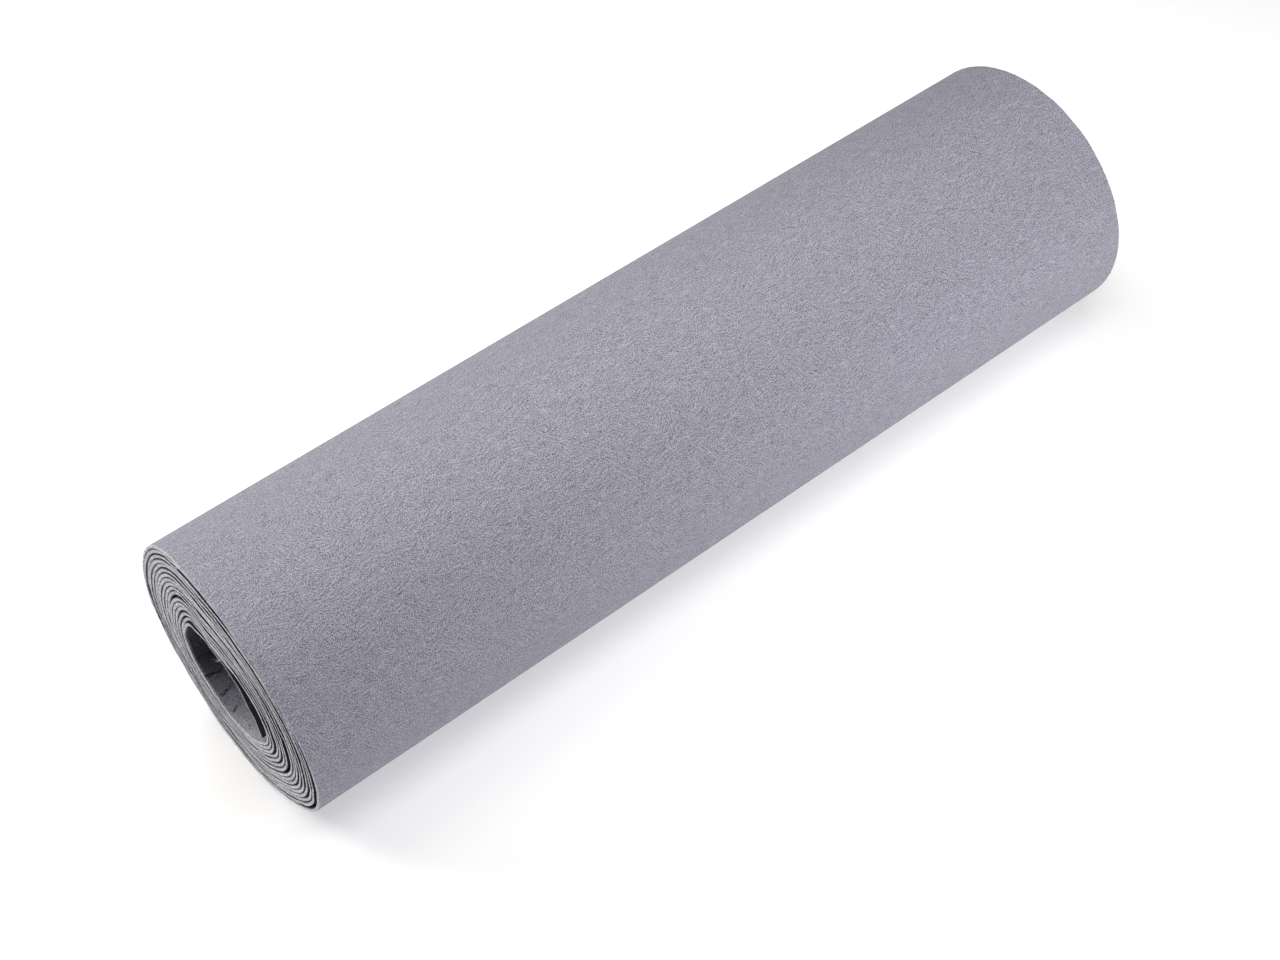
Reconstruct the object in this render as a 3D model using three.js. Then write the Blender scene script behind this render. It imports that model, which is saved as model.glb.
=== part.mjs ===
// A roll of craft felt: one long sheet wound on itself, with no core, lying on its side.
// Millimetres, +Z up. X runs along the roll, Y from its front to its back, and it rests on Z = 0.
import * as THREE from 'three';

// The sheet
const ROLL_LENGTH = 410;
const FELT_THICKNESS = 1.2;
const FELT_COLOUR = 0x9f9da9;

// Bearings are degrees round the roll's end: 0 at the back, 90 on top, 180 in front.
// The sheet starts at its inner end, climbs the front, crosses the top and goes down the back.
const INNER_END_BEARING = 202.5;
const OUTER_END_BEARING = -97.5;
const WHOLE_TURNS = 16;
const STEPS_PER_TURN = 48;
const TURNS = WHOLE_TURNS + (INNER_END_BEARING - OUTER_END_BEARING) / 360;

// The oval that the first turn starts on, low and towards the back of the roll
const HOLLOW = { y: 5.2, z: 48.9, halfWidth: 24.2, halfHeight: 21.6 };
// The loose inner end, which springs straight and so dents the oval by shares of its radius
const LOOSE_END = [
  { bearing: 95, spread: 55, dent: 0.16 },
  { bearing: 150, spread: 55, dent: 0.19 },
];
// The oval that the last turn ends on
const OUTSIDE = { y: -0.6, z: 55.8, halfWidth: 58.55, halfHeight: 56.9 };
// How much of the outer oval is pressed flat under the roll, measured up from its lowest point
const FLAT_DEPTH = 0.9;
const FLOOR = 0;

// Places where the layers stand apart, the widest being behind the loose inner end
const GAPS = [
  { layersInside: 1, bearing: 157, spread: 68, width: 7.6 },
  { layersInside: 3, bearing: 60, spread: 60, width: 1.0 },
  { layersInside: 4, bearing: 168, spread: 60, width: 1.1 },
  { layersInside: 6, bearing: 48, spread: 50, width: 1.0 },
  { layersInside: 9, bearing: 166, spread: 70, width: 1.8 },
  { layersInside: 13, bearing: 150, spread: 60, width: 1.0 },
  { layersInside: 16, bearing: 135, spread: 110, width: 1.4 },
];

function bearingAt(turn) {
  return INNER_END_BEARING - 360 * turn;
}

// The angle from one bearing to another, between -180 and 180 degrees
function angleBetween(from, to) {
  return THREE.MathUtils.euclideanModulo(to - from + 180, 360) - 180;
}

// 1 at a bump's middle, falling smoothly to 0 at the ends of its spread
function bump(shape, bearing) {
  const share = Math.min(Math.abs(angleBetween(shape.bearing, bearing)) / shape.spread, 1);
  return Math.cos(share * Math.PI / 2) ** 2;
}

// A point of the roll's end, with Y in x and Z in y, on an oval made smaller by a scale
function pointOnOval(oval, bearing, scale = 1) {
  const angle = THREE.MathUtils.degToRad(bearing);
  return new THREE.Vector2(
    oval.y + oval.halfWidth * scale * Math.cos(angle),
    oval.z + oval.halfHeight * scale * Math.sin(angle),
  );
}

function hollowPoint(bearing) {
  const dented = LOOSE_END.reduce((sum, row) => sum + row.dent * bump(row, bearing), 0);
  return pointOnOval(HOLLOW, bearing, 1 - dented);
}

function outsidePoint(bearing) {
  const point = pointOnOval(OUTSIDE, bearing);
  point.y = Math.max(point.y, OUTSIDE.z - OUTSIDE.halfHeight + FLAT_DEPTH);
  return point;
}

function gapWidth(gap, bearing) {
  return gap.width * bump(gap, bearing);
}

// Whether the sheet, at this turn, already lies outside a gap
function isOutside(gap, turn) {
  const turnAtGap = turn + angleBetween(gap.bearing, bearingAt(turn)) / 360;
  const firstPass = THREE.MathUtils.euclideanModulo(INNER_END_BEARING - gap.bearing, 360) / 360;
  return turnAtGap > firstPass + gap.layersInside - 0.5;
}

// The middle of the sheet at a turn: so far out along the wall from the hollow to the outside
function middlePoint(turn) {
  const bearing = bearingAt(turn);
  const inner = hollowPoint(bearing);
  const wall = outsidePoint(bearing).sub(inner);
  const allGaps = GAPS.reduce((sum, gap) => sum + gapWidth(gap, bearing), 0);
  const pitch = (wall.length() - FELT_THICKNESS - allGaps) / TURNS;
  let distance = FELT_THICKNESS / 2 + pitch * turn;
  for (const gap of GAPS) {
    if (isOutside(gap, turn)) {
      distance += gapWidth(gap, bearing);
    }
  }
  return inner.addScaledVector(wall.normalize(), distance);
}

// The two faces of the sheet at each step of its winding, from the inner end to the outer one
function woundSection() {
  const steps = Math.round(TURNS * STEPS_PER_TURN);
  const middle = [];
  for (let step = 0; step <= steps; step += 1) {
    middle.push(middlePoint(step / STEPS_PER_TURN));
  }
  return middle.map((point, step) => {
    const before = middle[Math.max(step - 1, 0)];
    const after = middle[Math.min(step + 1, steps)];
    const along = after.clone().sub(before).normalize();
    const outward = new THREE.Vector2(-along.y, along.x);
    const inside = point.clone().addScaledVector(outward, -FELT_THICKNESS / 2);
    const outside = point.clone().addScaledVector(outward, FELT_THICKNESS / 2);
    outside.y = Math.max(outside.y, FLOOR);
    return { inside, outside };
  });
}

// The closed solid of a section that runs straight along X, four corners to a step
function runAlongX(section, length) {
  const corners = [];
  for (const { inside, outside } of section) {
    for (const x of [-length / 2, length / 2]) {
      corners.push(x, inside.x, inside.y, x, outside.x, outside.y);
    }
  }
  const faces = [];
  const addFace = (a, b, c, d) => faces.push(a, b, c, a, c, d);
  const [NEAR_IN, NEAR_OUT, FAR_IN, FAR_OUT] = [0, 1, 2, 3];
  const rings = section.length;
  for (let ring = 0; ring < rings - 1; ring += 1) {
    const here = 4 * ring;
    const next = here + 4;
    addFace(here + NEAR_OUT, here + FAR_OUT, next + FAR_OUT, next + NEAR_OUT);
    addFace(here + NEAR_IN, next + NEAR_IN, next + FAR_IN, here + FAR_IN);
    addFace(here + NEAR_IN, here + NEAR_OUT, next + NEAR_OUT, next + NEAR_IN);
    addFace(here + FAR_IN, next + FAR_IN, next + FAR_OUT, here + FAR_OUT);
  }
  const last = 4 * (rings - 1);
  addFace(NEAR_IN, FAR_IN, FAR_OUT, NEAR_OUT);
  addFace(last + NEAR_IN, last + NEAR_OUT, last + FAR_OUT, last + FAR_IN);
  const geometry = new THREE.BufferGeometry();
  geometry.setAttribute('position', new THREE.Float32BufferAttribute(corners, 3));
  geometry.setIndex(faces);
  geometry.computeVertexNormals();
  return geometry;
}

function feltRoll() {
  const geometry = runAlongX(woundSection(), ROLL_LENGTH);
  geometry.computeBoundingBox();
  const { min, max } = geometry.boundingBox;
  geometry.translate(0, -(min.y + max.y) / 2, 0);
  const felt = new THREE.MeshStandardMaterial({ color: FELT_COLOUR, roughness: 0.95, metalness: 0 });
  const roll = new THREE.Mesh(geometry, felt);
  roll.name = 'felt_roll';
  return roll;
}

const part = new THREE.Group();
part.name = 'roll_of_felt';
part.add(feltRoll());

export default part;
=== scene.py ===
"""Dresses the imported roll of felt: the wound sheet, its loose fibres, the floor, light and camera.

The winding repeats the solid's ovals, turns and thickness, with more of the small gaps between its
layers. Shapes are worked out in millimetres, and meshes are made in metres in the solid's frame.
"""

import math

import bpy
import numpy as np
from mathutils import Matrix, Vector


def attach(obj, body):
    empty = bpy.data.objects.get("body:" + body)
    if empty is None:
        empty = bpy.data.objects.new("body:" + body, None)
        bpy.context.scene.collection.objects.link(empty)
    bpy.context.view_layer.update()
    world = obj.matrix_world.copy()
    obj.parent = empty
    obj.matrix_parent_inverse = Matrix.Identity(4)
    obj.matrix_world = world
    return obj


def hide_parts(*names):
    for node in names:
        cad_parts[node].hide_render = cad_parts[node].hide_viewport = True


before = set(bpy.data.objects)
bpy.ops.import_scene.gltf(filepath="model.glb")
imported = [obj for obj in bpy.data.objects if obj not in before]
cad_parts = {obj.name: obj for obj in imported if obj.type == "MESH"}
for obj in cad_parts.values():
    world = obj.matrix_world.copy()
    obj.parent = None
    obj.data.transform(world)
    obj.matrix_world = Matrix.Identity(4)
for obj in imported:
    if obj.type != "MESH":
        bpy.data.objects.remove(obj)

MM = 0.001
SEED = 7

# The sheet and its winding. Bearings are degrees round the roll's end: 0 at the back, 90 on top and
# 180 in front.
ROLL_LENGTH = 410.0
FELT_THICKNESS = 1.2
INNER_END_BEARING = 202.5
OUTER_END_BEARING = -97.5
WHOLE_TURNS = 16
TURNS = WHOLE_TURNS + (INNER_END_BEARING - OUTER_END_BEARING) / 360
HOLLOW = {"y": 5.2, "z": 48.9, "half_width": 24.2, "half_height": 21.6}
HOLLOW_RADIUS = (HOLLOW["half_width"] + HOLLOW["half_height"]) / 2
# The loose inner end springs straight and dents the oval: bearing, spread, share of the radius
LOOSE_END = [(95, 55, 0.16), (150, 55, 0.19)]
OUTSIDE = {"y": -0.6, "z": 55.8, "half_width": 58.55, "half_height": 56.9}
# How much of the outer oval is pressed flat under the roll
FLAT_DEPTH = 0.9
FLOOR = 0.0

# Where the layers stand apart: layers inside the gap, bearing, spread, width
GAPS = [
    (1, 157, 68, 7.6),
    (2, 35, 45, 0.5),
    (3, 60, 60, 1.0),
    (4, 168, 60, 1.1),
    (6, 48, 50, 1.0),
    (6, 185, 45, 0.7),
    (8, 70, 40, 0.6),
    (8, 166, 70, 1.8),
    (11, 180, 45, 0.6),
    (12, 55, 35, 0.5),
    (13, 150, 60, 1.0),
    (14, 188, 40, 0.6),
    (15, 50, 35, 0.4),
    (16, 195, 80, 1.0),
]


def bearing_at(turn):
    return INNER_END_BEARING - 360 * turn


def turn_at(bearing):
    """The first turn of the sheet at a bearing."""
    return (INNER_END_BEARING - bearing) % 360 / 360


def angle_between(start, end):
    return (end - start + 180) % 360 - 180


def smooth(value, start, end):
    """0 up to the start and 1 from the end on, with a smooth rise between."""
    share = np.clip((value - start) / (end - start), 0, 1)
    return share * share * (3 - 2 * share)


def bump(centre, spread, bearing):
    """1 at the centre, falling smoothly to 0 at the ends of the spread."""
    share = np.minimum(np.abs(angle_between(centre, bearing)) / spread, 1)
    return np.cos(share * math.pi / 2) ** 2


def on_oval(oval, bearing, scale=1.0):
    angle = np.radians(bearing)
    return np.stack([
        oval["y"] + oval["half_width"] * scale * np.cos(angle),
        oval["z"] + oval["half_height"] * scale * np.sin(angle),
    ], axis=-1)


def wall_at(bearing):
    """The hollow's side of the roll's wall, the way from there to the outside, and its length."""
    dent = sum(share * bump(centre, spread, bearing) for centre, spread, share in LOOSE_END)
    inner = on_oval(HOLLOW, bearing, 1 - dent)
    outer = on_oval(OUTSIDE, bearing)
    outer[..., 1] = np.maximum(outer[..., 1], OUTSIDE["z"] - OUTSIDE["half_height"] + FLAT_DEPTH)
    wall = outer - inner
    return inner, wall, np.linalg.norm(wall, axis=-1)


def layer_pitch(bearing):
    """How far apart the middles of two layers lie where no gap is between them."""
    _, _, across = wall_at(bearing)
    all_gaps = sum(width * bump(centre, spread, bearing) for _, centre, spread, width in GAPS)
    return (across - FELT_THICKNESS - all_gaps) / TURNS


def middle_of_sheet(turn):
    """Y and Z of the sheet's middle surface at each turn, in millimetres."""
    bearing = bearing_at(turn)
    inner, wall, across = wall_at(bearing)
    out = FELT_THICKNESS / 2 + layer_pitch(bearing) * turn
    for layers_inside, centre, spread, width in GAPS:
        turn_there = turn + angle_between(centre, bearing) / 360
        is_outside = turn_there > turn_at(centre) + layers_inside - 0.5
        out += np.where(is_outside, width * bump(centre, spread, bearing), 0)
    return inner + wall * (out / across)[..., None]


class Winding:
    """The sheet's middle line, its outward direction and its length so far, at any turn."""

    SAMPLES_PER_TURN = 720

    def __init__(self):
        self.turn = np.linspace(0, TURNS, int(TURNS * self.SAMPLES_PER_TURN))
        self.point = middle_of_sheet(self.turn)
        along = np.gradient(self.point, axis=0)
        along /= np.linalg.norm(along, axis=1)[:, None]
        self.outward = np.stack([-along[:, 1], along[:, 0]], axis=1)
        steps = np.linalg.norm(np.diff(self.point, axis=0), axis=1)
        self.length = np.concatenate([[0], np.cumsum(steps)])
        outer_face = self.point + self.outward * FELT_THICKNESS / 2
        self.point[:, 0] -= (outer_face[:, 0].min() + outer_face[:, 0].max()) / 2

    def at(self, turn):
        def pick(values):
            return np.stack([np.interp(turn, self.turn, values[:, k]) for k in (0, 1)], axis=-1)
        return pick(self.point), pick(self.outward)

    def length_at(self, turn):
        return np.interp(turn, self.turn, self.length)

    def total(self):
        return float(self.length[-1])


WAVES = 6
WAVE_STRETCH = (0.5, 2.0)


def soft_wander(place, wavelength, random):
    """A smooth uneven line through place, mostly between -1 and 1."""
    total = np.zeros_like(place, dtype=float)
    for _ in range(WAVES):
        stretch = wavelength * random.uniform(*WAVE_STRETCH)
        total += np.sin(2 * math.pi * (place / stretch + random.random()))
    return total / math.sqrt(WAVES)


def new_object(name, data):
    made = bpy.data.objects.new(name, data)
    bpy.context.scene.collection.objects.link(made)
    return made


def smooth_mesh(name, points, faces):
    """A smooth-shaded mesh from points in millimetres."""
    mesh = bpy.data.meshes.new(name)
    mesh.from_pydata((np.asarray(points).reshape(-1, 3) * MM).tolist(), [], faces)
    mesh.polygons.foreach_set("use_smooth", np.ones(len(mesh.polygons), dtype=bool))
    return mesh


# The hollow's wall

# Creases across it at the near end: bearing and depth where each starts, the same where it ends,
# width, how deep it is
CREASES = [
    (-30, 1.2, -26, 4.0, 0.45, 0.4),
    (-47, 0.4, -51, 10.0, 0.5, 0.7),
    (-69, 1.8, -65, 8.5, 0.5, 0.6),
    (-86, 1.6, -83, 7.0, 0.5, 0.7),
    (-110, 1.4, -108, 4.0, 0.45, 0.4),
]
CREASE_SETS_IN = 1.2
# How far a crease strays from its line, and how often
CREASE_JAG = 0.28
CREASE_JAG_RATES = (2.3, 4.1)
# The lip beside a crease: its height, and its place and width in widths of the crease
CREASE_LIP = 0.3
CREASE_LIP_PLACE = 1.7
CREASE_LIP_WIDTH = 0.7
# Painted shade in a crease, between these shares of its depth, and creases end over these turns
CREASE_SHADE = 0.75
CREASE_SHADE_FROM, CREASE_SHADE_TO = 0.1, 0.8
CREASED_TURNS = (0.95, 1.0)
# Between its creases the wall lies flatter than the oval, most at these depths
FLATS_FROM, FLATS_FULL, FLATS_FADE, FLATS_TO = 0.6, 3.0, 14.0, 30.0
FLATTENED = 0.85
# Painted light on its lower front: the wall is painted towards the rim colour there, down to a depth
PAINTED_LIGHT_WALL = {"bearing": -125, "spread": 60, "share": 0.6, "from": 2.0, "depth": 14.0}
# Painted shade on its back, where little light reaches
BACK_WALL = {
    "bearing": 10, "full": 40, "none": 100, "shade": 0.785, "depth": 1.4, "turns": (0.9, 1.0)}
# How far in from a cut edge the sheet is rounded
EDGE_ROUNDING = 0.22


def crease_lines(turn, inset):
    """Each crease, as widths aside from it, its strength there and how deep it is."""
    bearing = bearing_at(turn)
    mm_per_degree = math.pi / 180 * HOLLOW_RADIUS
    first_rate, last_rate = CREASE_JAG_RATES
    for first_bearing, first, last_bearing, last, width, deepest in CREASES:
        share = np.clip((inset - first) / (last - first), 0, 1)
        middle = first_bearing + (last_bearing - first_bearing) * share
        jag = CREASE_JAG * (np.sin(first_rate * inset + first_bearing)
                            + np.sin(last_rate * inset + last_bearing))
        aside = angle_between(middle, bearing) * mm_per_degree + jag
        starts = smooth(inset, first - CREASE_SETS_IN / 2, first + CREASE_SETS_IN / 2)
        ends = smooth(inset, last / 2, last)
        yield aside / width, starts * (1 - ends), deepest


def wall_relief(turn, inset):
    """How far the hollow's wall is pressed outward by its creases, and how much shade is painted
    into them.
    """
    shape = np.broadcast(turn, inset).shape
    pressed, shadow = np.zeros(shape), np.zeros(shape)
    for aside, strength, deepest in crease_lines(turn, inset):
        trough = np.clip(1 - np.abs(aside), 0, 1)
        lip = np.exp(-((aside - CREASE_LIP_PLACE) / CREASE_LIP_WIDTH) ** 2)
        pressed += strength * deepest * (trough - CREASE_LIP * lip)
        shadow = np.maximum(
            shadow, strength * smooth(trough, CREASE_SHADE_FROM, CREASE_SHADE_TO))
    first_turn = 1 - smooth(turn, *CREASED_TURNS)
    return pressed * first_turn, shadow * first_turn


def back_wall_shade(turn, inset):
    """How much shade is painted on the hollow's back wall, more further in from an end."""
    aside = np.abs(angle_between(BACK_WALL["bearing"], bearing_at(turn)))
    darkest = BACK_WALL["shade"] * (1 - smooth(aside, BACK_WALL["full"], BACK_WALL["none"]))
    further_in = smooth(inset, EDGE_ROUNDING, BACK_WALL["depth"])
    return darkest * further_in * (1 - smooth(turn, *BACK_WALL["turns"]))


def flats(turn, inset):
    """How far the sheet stands in from the oval, between the creases, where it lies flatter."""
    bearing = bearing_at(turn)
    middles = sorted((row[0] + row[2]) / 2 for row in CREASES)
    stands_in = np.zeros_like(turn)
    for low, high in zip(middles, middles[1:]):
        half = math.radians(high - low) / 2
        aside = np.radians(np.abs(angle_between((low + high) / 2, bearing)))
        chord = HOLLOW_RADIUS * (1 - math.cos(half) / np.cos(np.minimum(aside, half)))
        stands_in = np.maximum(stands_in, chord)
    depth = smooth(inset, FLATS_FROM, FLATS_FULL) * (1 - smooth(inset, FLATS_FADE, FLATS_TO))
    return FLATTENED * stands_in * depth * (turn < 1)


# The felt sheet

# How finely it is divided along its winding, and how far in from each cut edge its rows lie
FIRST_TURN_STEPS = 180
CREASE_STEPS = 40
CREASE_REACH = 4.0
OTHER_TURN_STEPS = 64
TURN_DECIMALS = 4
EDGE_ROWS = [0.02, 0.07, 0.15, 0.25]
HOLLOW_ROWS = [
    0.5, 0.9, 1.4, 2.0, 2.7, 3.5, 4.4, 5.4, 6.5, 7.7, 9.0, 10.5, 12.5, 15.0, 19.0, 26.0, 45.0, 100.0]
PLAIN_ROWS = [0.5, 0.9, 1.4, 4.0, 14.0, 45.0, 100.0]

# How uneven the cut edges are, in millimetres, and the thickness, as a share: each with a wavelength
CUT_WAVES = [(0.2, 140), (0.1, 14)]
THICKNESS_WAVE = (0.06, 60)
# At a cut edge the felt fluffs up, so that only a thin line is left between two layers. The line is
# wider or thinner in places: bearing, spread, how much
LINE_WIDTH = 0.26
LINES_WIDER = [(152, 75, 0.5), (45, 60, -0.1)]
FLUFF_FULL, FLUFF_TO = 0.9, 4.0
# Where the near cut edge lies further in than the end's plane, or out where that is negative:
# bearing, spread, how far, and the turns over which it sets in
RECESSES = [(40, 50, 1.4, 0, 1), (-137, 45, 1.3, 7, 15.5), (118, 65, -0.65, 15.4, 16)]
# The loose inner end: it is thinner and lies further into the hollow, its very end further out of it
FLAP_TURNS = (0.3, 0.42)
FLAP_THINNER = 0.3
FLAP_IN = 0.55
FLAP_TIP_TURNS = 0.06
FLAP_TIP_OUT = 1.0
INNER_END_ROUNDING = 0.8
INNER_END_LEAST = 0.06
# The sheet's last stretch, pressed thin under the roll, and how far it drops onto the next layer
THIN_END = 15.0
THINNEST = 0.1
TAIL_DROP = 0.38
# The turns over which the sheet's inner face comes to lie on another layer, and to fluff up, and
# those over which its outer face becomes the roll's outside
INSIDE_COVERED = (0.985, 1.01)
INSIDE_FLUFFS = (1.35, 1.5)
OUTSIDE_BARE = (TURNS - 1.0, TURNS - 0.98)

# The light rim along the cut edges, on the sheet's inner and outer face
RIM_WIDTH = 0.8
OUTER_RIM_WIDTH = 0.5
# On the outermost turn the rim is nearly as dark as the outer face, on top and in front
DULL_RIM = {"bearing": 125, "spread": 75, "share": 0.65, "turns": (TURNS - 1.02, TURNS - 0.98)}
# Painted shade between two layers: how dark the felt is painted there, from so far in on
GAP_SHADE_FROM, GAP_SHADE_TO = 0.0, 0.15
GAP_SHADE = {"outside": 0.94, "inside": 0.7, "behind_loose_end": 0.82}


def sheet_turns():
    """Where the sheet is divided along its winding: closely at the creases of the first turn."""
    parts = [
        np.linspace(0, 1, FIRST_TURN_STEPS, endpoint=False),
        np.linspace(1, TURNS, int((TURNS - 1) * OTHER_TURN_STEPS)),
    ]
    reach = CREASE_REACH / (2 * math.pi * HOLLOW_RADIUS)
    for first_bearing, _, last_bearing, _, _, _ in CREASES:
        middle = turn_at((first_bearing + last_bearing) / 2)
        parts.append(np.linspace(middle - reach, middle + reach, CREASE_STEPS))
    return np.unique(np.round(np.concatenate(parts), TURN_DECIMALS))


def edge_share(inset):
    """How full the sheet's thickness is so far in from its cut edge, which is softly rounded."""
    reach = np.clip(1 - inset / EDGE_ROUNDING, 0, 1)
    return np.sqrt(1 - reach ** 2)


def fluffed(turn):
    """How much thicker the sheet is on each side at its cut edges."""
    bearing = bearing_at(turn)
    line = LINE_WIDTH + sum(
        wider * bump(centre, spread, bearing) for centre, spread, wider in LINES_WIDER)
    room = np.maximum(layer_pitch(bearing) - FELT_THICKNESS - line, 0)
    return room / 2 * smooth(turn, *FLAP_TURNS)


def end_recess(turn):
    bearing = bearing_at(turn)
    return sum(far * bump(centre, spread, bearing) * smooth(turn, first, last)
               for centre, spread, far, first, last in RECESSES)


def flap_shift(turn):
    """How far outward the loose inner end is moved from the winding: its tip out, the rest in."""
    tip = 1 - smooth(turn, 0, FLAP_TIP_TURNS)
    return FLAP_TIP_OUT * tip - FLAP_IN * (1 - tip) * (1 - smooth(turn, *FLAP_TURNS))


def sheet_mesh(place, length, rim_and_painted_light, shade):
    """A closed mesh of the sheet's rings of points, laid out flat, with its rim colour and painted
    light, and its painted shade.
    """
    steps, ring, _ = place.shape
    index = np.arange(steps * ring).reshape(steps, ring)
    step, slot = np.meshgrid(np.arange(steps - 1), np.arange(ring), indexing="ij")
    after = (slot + 1) % ring
    quads = np.stack([index[step, slot], index[step, after],
                      index[step + 1, after], index[step + 1, slot]], axis=-1)
    faces = quads.reshape(-1, 4).tolist() + [index[0, ::-1].tolist(), index[-1].tolist()]
    mesh = smooth_mesh("felt_sheet", place, faces)

    widths = np.linalg.norm(np.diff(place, axis=1, append=place[:, :1]), axis=2).mean(axis=0)
    across = np.concatenate([[0], np.cumsum(widths)])
    flat_u = np.stack([length[step], length[step], length[step + 1], length[step + 1]], axis=-1)
    flat_v = np.stack([across[slot], across[slot + 1], across[slot + 1], across[slot]], axis=-1)
    corners = np.stack([flat_u, flat_v], axis=-1).reshape(-1, 2)
    ends = np.concatenate([
        np.stack([np.full(ring, length[0]), across[:ring][::-1]], axis=1),
        np.stack([np.full(ring, length[-1]), across[:ring]], axis=1),
    ])
    flat = mesh.uv_layers.new(name="flat_sheet")
    flat.data.foreach_set("uv", (np.concatenate([corners, ends]) * MM).astype(np.float32).ravel())
    for name, values in (("rim_and_painted_light", rim_and_painted_light), ("shade", shade)):
        attribute = mesh.attributes.new(name, "FLOAT", "POINT")
        attribute.data.foreach_set("value", values.astype(np.float32).ravel())
    mesh.update()
    return mesh


def felt_sheet(winding):
    """The wound sheet, as a ring of points round its cross-section at every step of the winding."""
    random = np.random.default_rng(SEED)
    turn = sheet_turns()
    bearing = bearing_at(turn)
    length = winding.length_at(turn)

    def cut_edge():
        return sum(far * soft_wander(length, wave, random) for far, wave in CUT_WAVES)

    near_edge = -ROLL_LENGTH / 2 + cut_edge() + end_recess(turn)
    far_edge = ROLL_LENGTH / 2 + cut_edge()
    varies, thickness_wave = THICKNESS_WAVE
    fullness = 1 + varies * soft_wander(length, thickness_wave, random)
    inner_end = np.sqrt(np.clip(length / INNER_END_ROUNDING, INNER_END_LEAST, 1))
    past_flap = smooth(turn, *FLAP_TURNS)
    half = FELT_THICKNESS / 2 * fullness * inner_end * (1 - FLAP_THINNER * (1 - past_flap))
    tail = smooth(length, length[-1] - THIN_END, length[-1])
    thinned = 1 - (1 - THINNEST) * tail
    shift = flap_shift(turn) - TAIL_DROP * tail

    outside_covered = 1 - smooth(turn, *OUTSIDE_BARE)
    fluff_inside = fluffed(turn) * smooth(turn, *INSIDE_FLUFFS)
    fluff_outside = fluffed(turn) * outside_covered
    # Painted shade on the faces that lie between layers, and behind the loose inner end
    in_gap_inside = GAP_SHADE["inside"] * smooth(turn, *INSIDE_COVERED)
    in_gap_outside = GAP_SHADE["behind_loose_end"] + (
        GAP_SHADE["outside"] - GAP_SHADE["behind_loose_end"]) * past_flap
    in_gap_outside *= outside_covered
    dull = DULL_RIM["share"] * bump(DULL_RIM["bearing"], DULL_RIM["spread"], bearing)
    rim_share = 1 - dull * smooth(turn, *DULL_RIM["turns"])
    # Painted light on the hollow's lower front, carried with the rim colour
    painted_light_share = (PAINTED_LIGHT_WALL["share"] * bump(PAINTED_LIGHT_WALL["bearing"], PAINTED_LIGHT_WALL["spread"], bearing)
                 * (turn < 1))

    x, lift, rim_and_painted_light, shade = [], [], [], []

    def column(place, thickness, relief, inset, in_gap, shadow=0.0, rim_width=RIM_WIDTH, painted_light=0.0):
        x.append(place)
        lift.append(thickness + relief)
        # The rim colour, with the painted light of the hollow's lower front
        rim_and_painted_light.append(np.maximum(rim_share * np.clip(1 - inset / rim_width, 0, 1), painted_light))
        # Painted shade between layers, and from the shadow painted in creases and on the hollow's
        # back
        shade.append((1 - in_gap * smooth(inset, GAP_SHADE_FROM, GAP_SHADE_TO)) * (1 - shadow))

    def row_of(inset, from_near, inner_face):
        place = near_edge + inset if from_near else far_edge - inset
        depth = inset if from_near else ROLL_LENGTH - inset
        at_edge = 1 - smooth(inset, FLUFF_FULL, FLUFF_TO)
        relief = shift - flats(turn, depth)
        if inner_face:
            thickness = -(half + fluff_inside * at_edge) * edge_share(inset)
            pressed, dark = wall_relief(turn, depth)
            # Painted shade in the creases and on the hollow's back wall
            shadow = 1 - (1 - CREASE_SHADE * dark) * (1 - back_wall_shade(turn, inset))
            painted_light = painted_light_share * (1 - smooth(depth, PAINTED_LIGHT_WALL["from"], PAINTED_LIGHT_WALL["depth"]))
            column(place, thickness, relief + pressed, inset, in_gap_inside, shadow, painted_light=painted_light)
        else:
            thickness = (half * (2 * thinned - 1) + fluff_outside * at_edge) * edge_share(inset)
            column(place, thickness, relief, inset, in_gap_outside, rim_width=OUTER_RIM_WIDTH)

    plain_rows = EDGE_ROWS + PLAIN_ROWS
    column(near_edge, 0.0, shift, 0.0, 0.0)
    for inset in EDGE_ROWS + HOLLOW_ROWS:
        row_of(inset, from_near=True, inner_face=True)
    for inset in plain_rows[::-1]:
        row_of(inset, from_near=False, inner_face=True)
    column(far_edge, 0.0, shift, 0.0, 0.0)
    for inset in plain_rows:
        row_of(inset, from_near=False, inner_face=False)
    for inset in plain_rows[::-1]:
        row_of(inset, from_near=True, inner_face=False)

    x, lift, rim_and_painted_light = (np.stack(values, axis=1) for values in (x, lift, rim_and_painted_light))
    shade = np.stack([np.broadcast_to(value, len(turn)) for value in shade], axis=1)
    point, outward = winding.at(turn)
    place = np.empty((*x.shape, 3))
    place[..., 0] = x
    place[..., 1:] = point[:, None, :] + outward[:, None, :] * lift[..., None]
    place[..., 2] = np.maximum(place[..., 2], FLOOR)
    return new_object("felt_sheet", sheet_mesh(place, length, rim_and_painted_light, shade))


# Loose fibres at the cut edges

# Tufts at the near edge: on the sheet's outermost turn or on its first one, and their bearing
TUFTS = [("outermost", 136.7), ("outermost", 146.1), ("outermost", 72.9), ("first", 100.0)]
TUFT_FIBRES = 14
TUFT_SPREAD = 0.35
TUFT_LENGTHS = (0.9, 1.8)
STRAY_FIBRES = 320
STRAY_LENGTHS = (0.7, 1.6)
# How far in from the end a fibre starts, and how far from the sheet's middle
FIBRE_ROOT = 0.4
ROOT_SCATTER = 0.4
# How much it heads outward and aside, and how much it bends, for a heading of 1 along the roll
FIBRE_OUTWARD = 0.6
FIBRE_ASIDE = 0.35
FIBRE_BEND = 0.5
FIBRE_RADIUS = 0.08
FIBRE_TAPER = 0.6
FIBRE_RINGS = 6
FIBRE_CORNERS = 3


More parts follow.
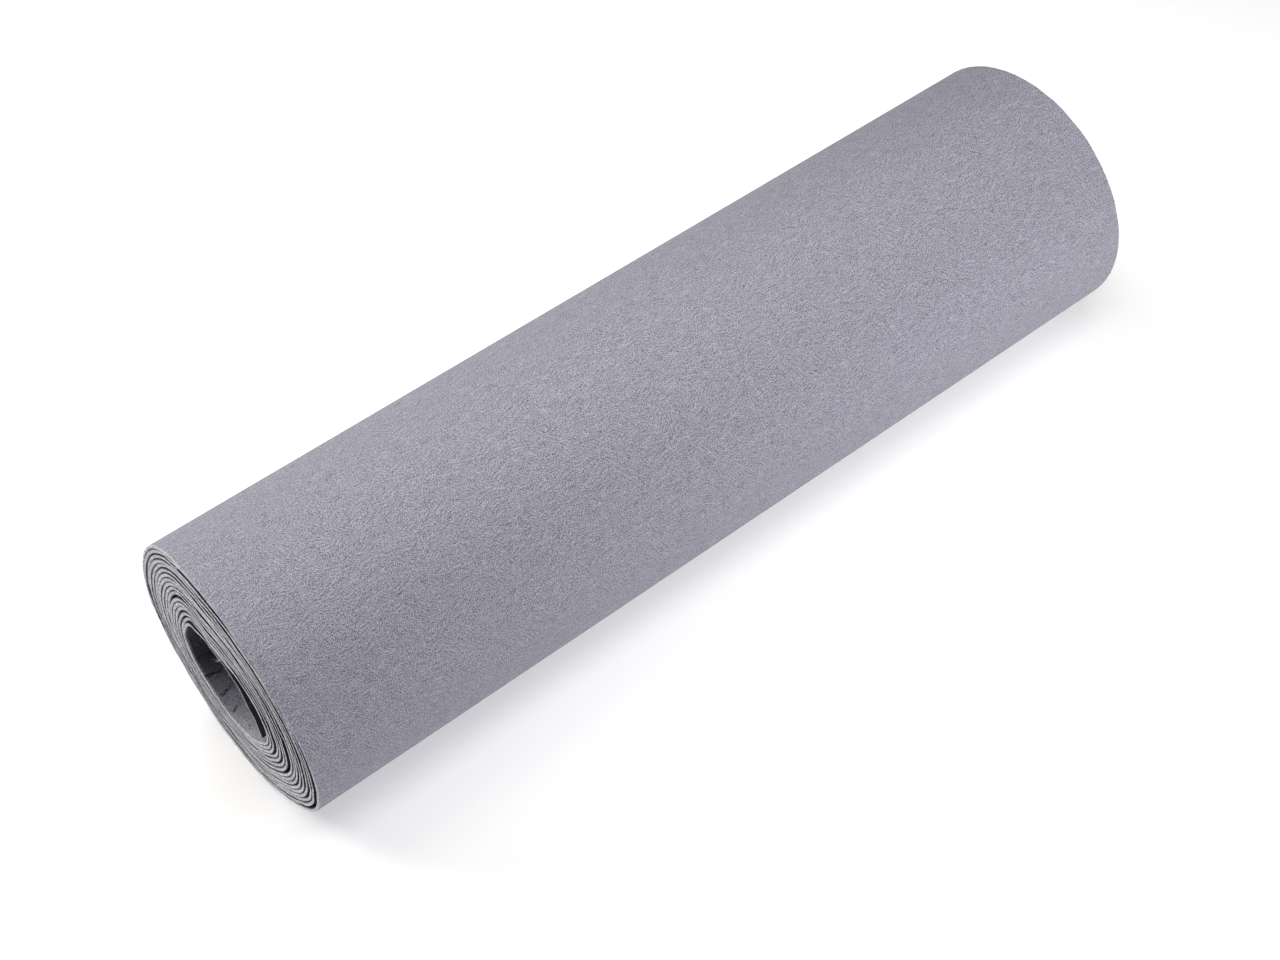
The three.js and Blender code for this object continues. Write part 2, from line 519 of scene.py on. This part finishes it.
def fibre_roots(winding, random):
    """Where each fibre leaves the sheet, which way it heads there and how long it is."""
    turns, ends, lengths = [], [], []
    spread = TUFT_SPREAD / (winding.total() / TURNS)
    for which, bearing in TUFTS:
        turn = turn_at(bearing)
        if which == "outermost":
            turn += math.floor(TURNS - turn)
        turns.append(turn + spread * random.uniform(-1, 1, TUFT_FIBRES))
        ends.append(np.full(TUFT_FIBRES, -1.0))
        lengths.append(random.uniform(*TUFT_LENGTHS, TUFT_FIBRES))
    turns.append(random.uniform(0, TURNS, STRAY_FIBRES))
    ends.append(random.choice([-1.0, 1.0], STRAY_FIBRES))
    lengths.append(random.uniform(*STRAY_LENGTHS, STRAY_FIBRES))
    turn, end, length = (np.concatenate(rows) for rows in (turns, ends, lengths))
    count = len(turn)
    point, outward = winding.at(turn)
    root = np.column_stack([end * (ROLL_LENGTH / 2 - FIBRE_ROOT), point])
    root[:, 1:] += outward * random.uniform(-ROOT_SCATTER, ROOT_SCATTER, count)[:, None]
    along_roll = np.column_stack([end, np.zeros((count, 2))])
    out = np.column_stack([np.zeros(count), outward])
    heading = along_roll + out * random.uniform(0, FIBRE_OUTWARD, count)[:, None]
    return root, heading + random.normal(0, FIBRE_ASIDE, root.shape), length


def loose_fibres(winding):
    """Fine fibres that stand out of the sheet's cut edges, as one mesh of thin curved tubes."""
    random = np.random.default_rng(SEED + 1)
    root, heading, length = fibre_roots(winding, random)
    heading /= np.linalg.norm(heading, axis=1)[:, None]
    bend = random.normal(0, FIBRE_BEND, root.shape)
    along = np.linspace(0, 1, FIBRE_RINGS)
    line = heading[:, None] * along[:, None] + bend[:, None] * along[:, None] ** 2
    line = root[:, None] + line * length[:, None, None]
    side = np.cross(heading, bend)
    side /= np.linalg.norm(side, axis=1)[:, None]
    other_side = np.cross(heading, side)
    angle = 2 * math.pi * np.arange(FIBRE_CORNERS) / FIBRE_CORNERS
    around = (side[:, None] * np.cos(angle)[:, None]
              + other_side[:, None] * np.sin(angle)[:, None])
    radius = FIBRE_RADIUS * (1 - FIBRE_TAPER * along)
    points = line[:, :, None] + around[:, None] * radius[:, None, None]
    points[..., 2] = np.maximum(points[..., 2], FLOOR)

    index = np.arange(points[..., 0].size).reshape(points.shape[:3])
    after = np.roll(index, -1, axis=2)
    sides = np.stack([index[:, :-1], after[:, :-1], after[:, 1:], index[:, 1:]], axis=-1)
    faces = sides.reshape(-1, 4).tolist() + index[:, 0, ::-1].tolist() + index[:, -1].tolist()
    return new_object("felt_fuzz", smooth_mesh("felt_fuzz", points, faces))


# Materials

FELT_SHADE = (0.286, 0.280, 0.334)
FELT_RIM = (0.63, 0.622, 0.683)
FELT_ROUGHNESS = 0.95
FELT_SPECULAR = 0.1
FELT_SHEEN = 0.08
FELT_SHEEN_ROUGHNESS = 0.5
# How much more the tone varies at the rims
RIM_CONTRAST = 1.5
# Sizes in the felt are in millimetres. Fibres and strands run so many degrees from the winding, and
# otherwise in patches: their angle, size, and the range of the noise that starts and fills a patch
FIBRE_WIDTH = 0.42
FIBRE_LENGTH = 1.6
STRAND_WIDTH = 0.6
STRAND_LENGTH = 5.5
MAIN_LEAN = 75
LEANS = [(-70, 11.0, 0.50, 0.58), (110, 14.0, 0.52, 0.60), (30, 16.0, 0.56, 0.64)]
PATCH_DETAIL = 1.0
# How far all of them are pushed out of line, and over what size
SWIRL_SIZE = 15.0
SWIRL_DETAIL = 1.0
SWIRL_PUSH = 3.0
# Longer hairs, lighter than the rest, and the range of the noise where one starts and fully shows
HAIR_LEAN = 86
HAIR_WIDTH = 0.6
HAIR_LENGTH = 7.0
HAIR_FROM, HAIR_TO = 0.6, 0.78
GRAIN_SIZE = 0.65
FINE_GRAIN_SIZE = 0.4
MOTTLE_SIZE = 7.0
MOTTLE_DETAIL = 4.0
MOTTLE_ROUGHNESS = 0.6
# How much each of them counts in the tone, and the lightness that the tone's range gives
TONE_WEIGHTS = {
    "fibres": 0.55, "grain": 0.35, "fine_grain": 1.8, "strands": 0.5, "mottle": 0.12, "hairs": 0.12}
DARK_TONE, LIGHT_TONE = -0.8, 0.8
DARKEST, LIGHTEST = 0.2, 1.8
BUMP_STRENGTH = 0.45
BUMP_DEPTH = 0.3

LOOSE_FIBRE_LIGHT = (0.95, 0.94, 0.95)
LOOSE_FIBRE_DARK = (0.55, 0.54, 0.57)
LOOSE_FIBRE_VARIES = 0.8
LOOSE_FIBRE_ROUGHNESS = 0.9

FLOOR_SHADE = (0.92, 0.92, 0.925)
FLOOR_GLOW = 0.30
FLOOR_ROUGHNESS = 0.8
FLOOR_SPECULAR = 0.1


def add_node(tree, kind, inputs=None, **settings):
    """A shader node with its settings, and each input either linked or set."""
    made = tree.nodes.new(kind)
    for name, value in settings.items():
        setattr(made, name, value)
    for name, value in (inputs or {}).items():
        socket = made.inputs[name]
        if isinstance(value, bpy.types.NodeSocket):
            tree.links.new(value, socket)
        else:
            socket.default_value = value
    return made


def math_node(tree, operation, first, second):
    return add_node(tree, "ShaderNodeMath", {0: first, 1: second}, operation=operation).outputs[0]


def vector_node(tree, operation, inputs):
    return add_node(tree, "ShaderNodeVectorMath", inputs, operation=operation).outputs[0]


def range_node(tree, inputs):
    return add_node(tree, "ShaderNodeMapRange", inputs).outputs[0]


def new_material(name):
    material = bpy.data.materials.new(name)
    material.use_nodes = True
    tree = material.node_tree
    return material, tree, tree.nodes["Principled BSDF"]


def felt_tone(tree, flat):
    """Matted fibres, longer strands and a few hairs that lean in patches, over grain and mottling.

    The tone is how much lighter, or darker where it is negative, the felt is than its own colour.
    """

    def noise(vector, size, detail=0.0, roughness=0.5):
        """Soft noise of a size in millimetres."""
        return add_node(tree, "ShaderNodeTexNoise", {
            "Vector": vector, "Scale": 1 / (size * MM), "Detail": detail, "Roughness": roughness},
            noise_dimensions="2D")

    swirl = noise(flat, SWIRL_SIZE, SWIRL_DETAIL).outputs["Color"]
    centred = vector_node(tree, "SUBTRACT", {0: swirl, 1: (0.5, 0.5, 0.5)})
    pushed = vector_node(tree, "SCALE", {0: centred, "Scale": SWIRL_PUSH * MM})
    warped = vector_node(tree, "ADD", {0: flat, 1: pushed})

    def fibres_at(angle, length, width):
        """Dashes that run at an angle from the winding."""
        turned = add_node(tree, "ShaderNodeMapping", {
            "Vector": warped, "Rotation": (0, 0, math.radians(angle)),
            "Scale": (length * MM, width * MM, 1.0)}, vector_type="TEXTURE")
        return noise(turned.outputs[0], 1 / MM).outputs["Fac"]

    def patches(size, low, high):
        field = noise(flat, size, PATCH_DETAIL).outputs["Fac"]
        return range_node(tree, {"Value": field, "From Min": low, "From Max": high})

    def blend(share, first, second):
        return add_node(tree, "ShaderNodeMix", {0: share, 2: first, 3: second}).outputs[0]

    def weigh(value, weight):
        """How far a value lies from its middle, times a weight."""
        return add_node(tree, "ShaderNodeMath", {0: value, 1: weight, 2: -0.5 * weight},
                        operation="MULTIPLY_ADD").outputs[0]

    leans = [(angle, patches(size, low, high)) for angle, size, low, high in LEANS]

    def matted(length, width):
        """Dashes of one size, in patches that lean different ways."""
        field = fibres_at(MAIN_LEAN, length, width)
        for angle, share in leans:
            field = blend(share, field, fibres_at(angle, length, width))
        return field

    fibres = matted(FIBRE_LENGTH, FIBRE_WIDTH)
    strands = matted(STRAND_LENGTH, STRAND_WIDTH)
    hairs = range_node(tree, {
        "Value": fibres_at(HAIR_LEAN, HAIR_LENGTH, HAIR_WIDTH),
        "From Min": HAIR_FROM, "From Max": HAIR_TO})
    grain = noise(flat, GRAIN_SIZE).outputs["Fac"]
    fine_grain = noise(flat, FINE_GRAIN_SIZE).outputs["Fac"]
    mottle = noise(flat, MOTTLE_SIZE, MOTTLE_DETAIL, MOTTLE_ROUGHNESS).outputs["Fac"]
    tone = weigh(fibres, TONE_WEIGHTS["fibres"])
    for name, field in (("grain", grain), ("fine_grain", fine_grain),
                        ("strands", strands), ("mottle", mottle)):
        tone = math_node(tree, "ADD", tone, weigh(field, TONE_WEIGHTS[name]))
    return math_node(tree, "ADD", tone, math_node(tree, "MULTIPLY", hairs, TONE_WEIGHTS["hairs"]))


def felt_material():
    """Felt with light rims at its cut edges and painted light on the hollow's lower front, darkened
    by the shade painted on the sheet.
    """
    material, tree, shader = new_material("felt")
    flat = add_node(tree, "ShaderNodeUVMap", uv_map="flat_sheet").outputs["UV"]
    tone = felt_tone(tree, flat)
    # The rim colour, with the painted light of the hollow's lower front
    rim_and_painted_light = add_node(tree, "ShaderNodeAttribute", attribute_name="rim_and_painted_light").outputs["Fac"]
    contrast = range_node(tree, {"Value": rim_and_painted_light, "To Min": 1.0, "To Max": RIM_CONTRAST})
    tone = math_node(tree, "MULTIPLY", tone, contrast)
    lightness = range_node(tree, {
        "Value": tone, "From Min": DARK_TONE, "From Max": LIGHT_TONE,
        "To Min": DARKEST, "To Max": LIGHTEST})
    # Painted shade between layers, in creases and on the hollow's back
    shade = add_node(tree, "ShaderNodeAttribute", attribute_name="shade").outputs["Fac"]
    body = add_node(tree, "ShaderNodeMix", {
        0: rim_and_painted_light, 6: (*FELT_SHADE, 1), 7: (*FELT_RIM, 1)}, data_type="RGBA").outputs[2]
    light = math_node(tree, "MULTIPLY", lightness, shade)
    shaded = vector_node(tree, "SCALE", {0: body, "Scale": light})
    tree.links.new(shaded, shader.inputs["Base Color"])
    relief = add_node(tree, "ShaderNodeBump", {
        "Strength": BUMP_STRENGTH, "Distance": BUMP_DEPTH * MM, "Height": tone}).outputs[0]
    tree.links.new(relief, shader.inputs["Normal"])
    shader.inputs["Roughness"].default_value = FELT_ROUGHNESS
    shader.inputs["Specular IOR Level"].default_value = FELT_SPECULAR
    shader.inputs["Sheen Weight"].default_value = FELT_SHEEN
    shader.inputs["Sheen Roughness"].default_value = FELT_SHEEN_ROUGHNESS
    return material


def fibre_material():
    """Single fibres, some darker than others."""
    material, tree, shader = new_material("loose_fibre")
    place = add_node(tree, "ShaderNodeTexCoord").outputs["Object"]
    varied = add_node(tree, "ShaderNodeTexNoise", {
        "Vector": place, "Scale": 1 / (LOOSE_FIBRE_VARIES * MM)}).outputs["Fac"]
    shades = add_node(tree, "ShaderNodeMix", {
        0: varied, 6: (*LOOSE_FIBRE_DARK, 1), 7: (*LOOSE_FIBRE_LIGHT, 1)}, data_type="RGBA")
    tree.links.new(shades.outputs[2], shader.inputs["Base Color"])
    shader.inputs["Roughness"].default_value = LOOSE_FIBRE_ROUGHNESS
    return material


def floor_material():
    material, _, shader = new_material("pale_floor")
    shader.inputs["Base Color"].default_value = (*FLOOR_SHADE, 1)
    shader.inputs["Emission Color"].default_value = (1, 1, 1, 1)
    shader.inputs["Emission Strength"].default_value = FLOOR_GLOW
    shader.inputs["Roughness"].default_value = FLOOR_ROUGHNESS
    shader.inputs["Specular IOR Level"].default_value = FLOOR_SPECULAR
    return material


# Floor, light and camera, in metres

FLOOR_HALF_SIZE = 12.0
CAMERA_AIM = (-0.0205, -0.0116, 0.0380)
CAMERA_AZIMUTH = -39.425
CAMERA_ELEVATION = 51.288
CAMERA_DISTANCE = 0.8494
CAMERA_LENS = 59.5
SENSOR_WIDTH = 36.0
SKY = 0.1

# Soft boxes, in metres and watts: name, place, aim, size, power, colour
SOFT_BOXES = [
    ("low_front", (0.15, -0.4, 0.25), (0.05, 0, 0.05), 0.25, 0.6, (1, 1, 1)),
    ("left", (-0.6, 0.5, 0.6), (-0.2, 0, 0.05), 0.3, 2.5, (1.0, 0.98, 0.94)),
    ("near_left", (-0.5, -0.1, 0.9), (-0.2, 0, 0.08), 0.4, 0.6, (1, 1, 1)),
    ("near_top", (-0.3, 0.15, 0.8), (-0.15, 0, 0.1), 0.3, 0.95, (1.0, 0.965, 0.87)),
    ("middle_top", (0, -0.2, 0.6), (0.05, 0, 0.05), 0.2, 1.2, (1, 1, 1)),
    ("right", (0.45, -0.45, 0.3), (0.2, 0, 0.05), 0.4, 1.2, (1, 1, 1)),
    ("back", (-0.1, 0.5, 0.6), (-0.05, 0, 0.05), 0.3, 2.5, (1, 1, 1)),
]


def pale_floor():
    reach = FLOOR_HALF_SIZE
    mesh = bpy.data.meshes.new("floor")
    corners = [(-reach, -reach, 0), (reach, -reach, 0), (reach, reach, 0), (-reach, reach, 0)]
    mesh.from_pydata(corners, [], [(0, 1, 2, 3)])
    mesh.materials.append(floor_material())
    floor = new_object("floor", mesh)


def soft_box(name, place, aim, size, power, colour):
    lamp = bpy.data.lights.new(name, "AREA")
    lamp.shape = "SQUARE"
    lamp.size = size
    lamp.energy = power
    lamp.color = colour
    box = new_object(name, lamp)
    box.location = place
    box.rotation_euler = (Vector(aim) - Vector(place)).to_track_quat("-Z", "Y").to_euler()


def studio_light():
    world = bpy.data.worlds.new("studio")
    world.use_nodes = True
    sky = world.node_tree.nodes["Background"]
    sky.inputs["Color"].default_value = (1, 1, 1, 1)
    sky.inputs["Strength"].default_value = SKY
    bpy.context.scene.world = world
    for row in SOFT_BOXES:
        soft_box(*row)


def photo_camera():
    azimuth, elevation = math.radians(CAMERA_AZIMUTH), math.radians(CAMERA_ELEVATION)
    back = Vector((math.sin(azimuth) * math.cos(elevation),
                   -math.cos(azimuth) * math.cos(elevation), math.sin(elevation)))
    right = Vector((math.cos(azimuth), math.sin(azimuth), 0))
    up = back.cross(right)
    lens = bpy.data.cameras.new("camera")
    lens.sensor_fit = "HORIZONTAL"
    lens.sensor_width = SENSOR_WIDTH
    lens.lens = CAMERA_LENS
    camera = new_object("camera", lens)
    turned = Matrix((right, up, back)).transposed().to_4x4()
    camera.matrix_world = Matrix.Translation(Vector(CAMERA_AIM) + back * CAMERA_DISTANCE) @ turned
    bpy.context.scene.camera = camera


def main():
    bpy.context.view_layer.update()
    winding = Winding()
    sheet = felt_sheet(winding)
    sheet.data.materials.append(felt_material())
    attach(sheet, "root")
    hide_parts("felt_roll")
    fuzz = loose_fibres(winding)
    fuzz.data.materials.append(fibre_material())
    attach(fuzz, "root")
    pale_floor()
    studio_light()
    photo_camera()
    view = bpy.context.scene.view_settings
    view.view_transform = "Standard"
    view.look = "None"


main()
